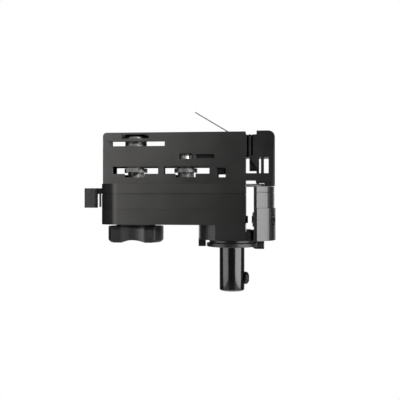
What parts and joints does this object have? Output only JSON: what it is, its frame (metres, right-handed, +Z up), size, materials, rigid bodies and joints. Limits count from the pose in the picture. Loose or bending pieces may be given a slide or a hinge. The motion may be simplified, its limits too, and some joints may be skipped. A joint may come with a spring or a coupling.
{
  "type": "track light adapter",
  "caption": "Adapter that carries a lamp on a lighting track: slim contact housing, base, locking dial, release handle, spring tab and swivel stem.",
  "frame": {"origin": "on the stem axis, in the shoulder plane that meets the track, at mid-width", "axes": "+Z up into the track, +X along the housing towards the release handle, -Y the front"},
  "size_m": [0.1051, 0.0324, 0.0977],
  "materials": {
    "housing": "satin",
    "inner_plastic": "gloss",
    "stem_metal": "gloss",
    "steel": "satin",
    "plated": "polished",
    "brass": "satin"
  },
  "bodies": {
    "housing": {"upper_body": "housing", "lower_cover": "housing", "cover_screws": "steel", "idler_pin": "steel", "live_terminal": "brass", "neutral_terminal": "inner_plastic", "earth_pin": "steel", "earth_terminal": "inner_plastic"},
    "dial_shaft": {"dial": "housing", "dial_screw": "steel", "live_rotor": "inner_plastic", "live_blade": "plated"},
    "idler": {"idler_gear": "inner_plastic"},
    "neutral_shaft": {"neutral_rotor": "inner_plastic", "neutral_contact": "plated"},
    "handle": {"release_handle": "housing", "slide_plate": "steel", "plate_rivets": "steel", "blocking_screw": "steel", "handle_spring": "steel"},
    "tab": {"end_tab": "housing"},
    "leaf": {"earth_leaf": "steel"},
    "swivel": {"swivel_disc": "inner_plastic", "stem": "stem_metal", "stem_washer": "steel", "stem_nut": "steel", "clamp_screw": "stem_metal"}
  },
  "joints": [
    {"name": "dial_turn", "type": "hinge", "parent": "housing", "child": "dial_shaft", "pos_m": [-0.0532, 0, 0], "axis": [0, 0, -1], "range_deg": [0, 90]},
    {"name": "idler_turn", "type": "hinge", "parent": "housing", "child": "idler", "pos_m": [-0.0393, 0, 0], "axis": [0, 0, -1], "range_deg": [-90, 0]},
    {"name": "neutral_turn", "type": "hinge", "parent": "housing", "child": "neutral_shaft", "pos_m": [-0.0254, 0, 0], "axis": [0, 0, -1], "range_deg": [0, 90]},
    {"name": "handle_press", "type": "slide", "parent": "housing", "child": "handle", "axis": [-1, 0, 0], "range_m": [0, 0.0016], "stiffness_N_per_m": 2000, "springref_m": -0.001, "deforming": ["handle_spring"]},
    {"name": "tab_press", "type": "slide", "parent": "housing", "child": "tab", "axis": [1, 0, 0], "range_m": [0, 0.0008], "stiffness_N_per_m": 3000, "springref_m": -0.0005},
    {"name": "leaf_press", "type": "hinge", "parent": "housing", "child": "leaf", "pos_m": [0.0008, 0, 0.02685], "axis": [0, -1, 0], "range_deg": [0, 22], "stiffness_Nm_per_rad": 0.05, "springref_deg": -5.73},
    {"name": "stem_swivel", "type": "hinge", "parent": "housing", "child": "swivel", "pos_m": [0, 0, -0.03], "axis": [0, 0, 1], "range_deg": [-158, 158]}
  ],
  "couplings": [
    {"joint": "idler_turn", "follows": "dial_turn", "ratio": -1},
    {"joint": "neutral_turn", "follows": "dial_turn", "ratio": 1}
  ]
}
